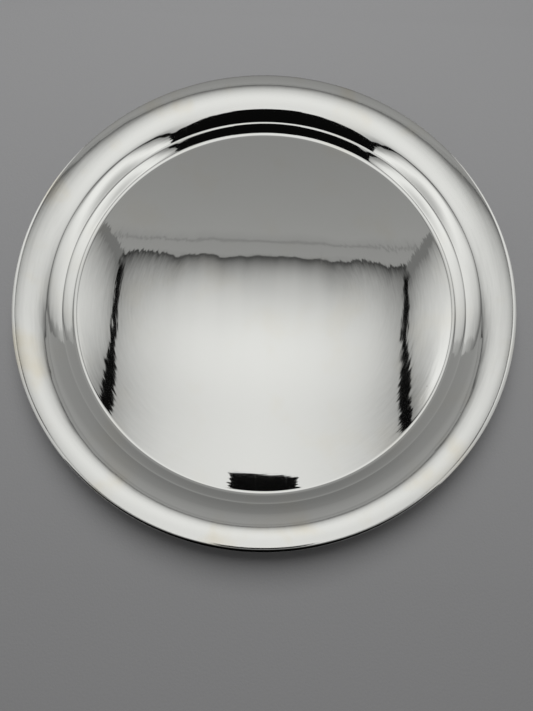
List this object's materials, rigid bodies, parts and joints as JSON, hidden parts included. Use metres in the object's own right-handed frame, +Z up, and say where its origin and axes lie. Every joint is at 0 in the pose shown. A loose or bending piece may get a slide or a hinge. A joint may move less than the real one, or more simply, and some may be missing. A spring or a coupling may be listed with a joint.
{
  "type": "serving plate",
  "caption": "Round mirror-polished metal serving tray with a flat floor, a creased wall, a flared rim and an edge rolled round a wire.",
  "frame": {"origin": "middle of the underside of the floor, on the table", "axes": "+Z up along the axis of the round tray"},
  "size_m": [0.3026, 0.3026, 0.0184],
  "materials": {
    "silver_plate": "mirror-polished silver plate over brass sheet, lightly tarnished on the rim",
    "brass_wire": "bare drawn wire"
  },
  "bodies": {
    "root": {"tray_sheet": "silver_plate", "rim_wire": "brass_wire"}
  },
  "joints": []
}
